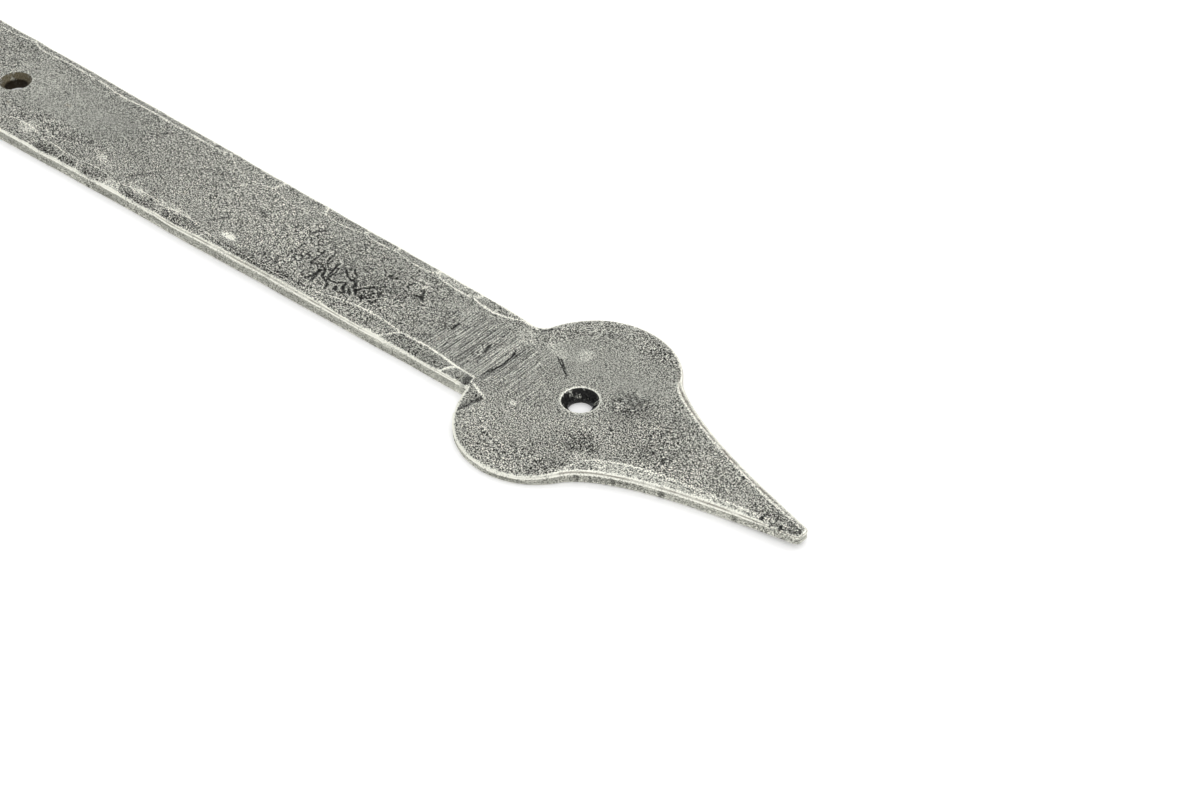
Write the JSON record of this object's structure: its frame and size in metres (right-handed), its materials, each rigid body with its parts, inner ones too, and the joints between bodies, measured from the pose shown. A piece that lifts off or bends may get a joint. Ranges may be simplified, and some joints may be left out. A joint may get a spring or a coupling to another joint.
{
  "type": "cranked hook and band hinge",
  "caption": "Forged strap hinge: a tapered band with a spade end, cranked to a rolled eye that swings on a pin bent out of a screw-on plate.",
  "frame": {"origin": "on the back face of the hook plate, behind the pin axis and level with the band's centre line", "axes": "+X from the pin axis along the band to its tip, +Y along the pin to its free end, +Z out of the face of door and post; Z = 0 is that face"},
  "size_m": [0.6336, 0.1352, 0.0371],
  "materials": {
    "pewter_patina": "hand-forged steel with a grey pewter-like waxed patina, pitted, with pale worn edges"
  },
  "bodies": {
    "hook": {"hook_plate": "pewter_patina", "hook_pin": "pewter_patina"},
    "band": {"strap": "pewter_patina", "spade_end": "pewter_patina"}
  },
  "joints": [
    {"name": "band_swing", "type": "hinge", "parent": "hook", "child": "band", "pos_m": [0, 0, 0.02508], "axis": [0, -1, 0], "range_deg": [0, 180]}
  ]
}
